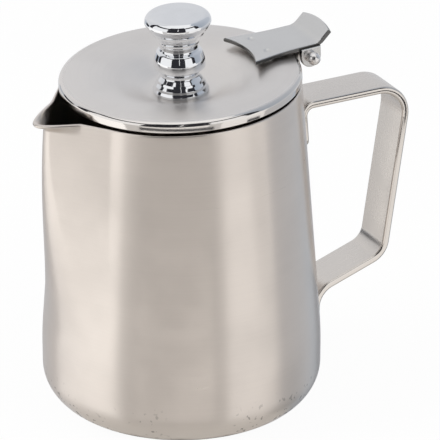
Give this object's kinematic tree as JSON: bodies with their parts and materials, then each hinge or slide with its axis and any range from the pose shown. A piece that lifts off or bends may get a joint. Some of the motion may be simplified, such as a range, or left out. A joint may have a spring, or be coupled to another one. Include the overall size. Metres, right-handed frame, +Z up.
{
  "type": "hot milk jug with lid",
  "caption": "Tapered steel jug with a pulled pouring spout, a welded flat-strip handle and a hinged dished lid with a thumb plate and a turned knob.",
  "frame": {"origin": "centre of the flat base, on the body's axis", "axes": "+Z up along the body's axis, the spout points to -X, the handle to +X, and the hinge pin lies along Y"},
  "size_m": [0.1564, 0.1076, 0.1583],
  "materials": {
    "satin_steel": "satin, brushed around the axis",
    "bright_steel": "polished",
    "chrome": "mirror"
  },
  "bodies": {
    "jug": {"jug_body": "satin_steel", "handle": "satin_steel", "hinge_bracket": "satin_steel"},
    "lid": {"lid": "satin_steel", "thumb_plate": "satin_steel", "hinge_pin": "bright_steel", "pin_cap": "bright_steel", "knob": "chrome", "knob_screw": "bright_steel", "knob_washer": "bright_steel"}
  },
  "joints": [
    {"name": "lid_hinge", "type": "hinge", "parent": "jug", "child": "lid", "pos_m": [0.04995, 0, 0.13447], "axis": [0, 1, 0], "range_deg": [0, 100]}
  ]
}
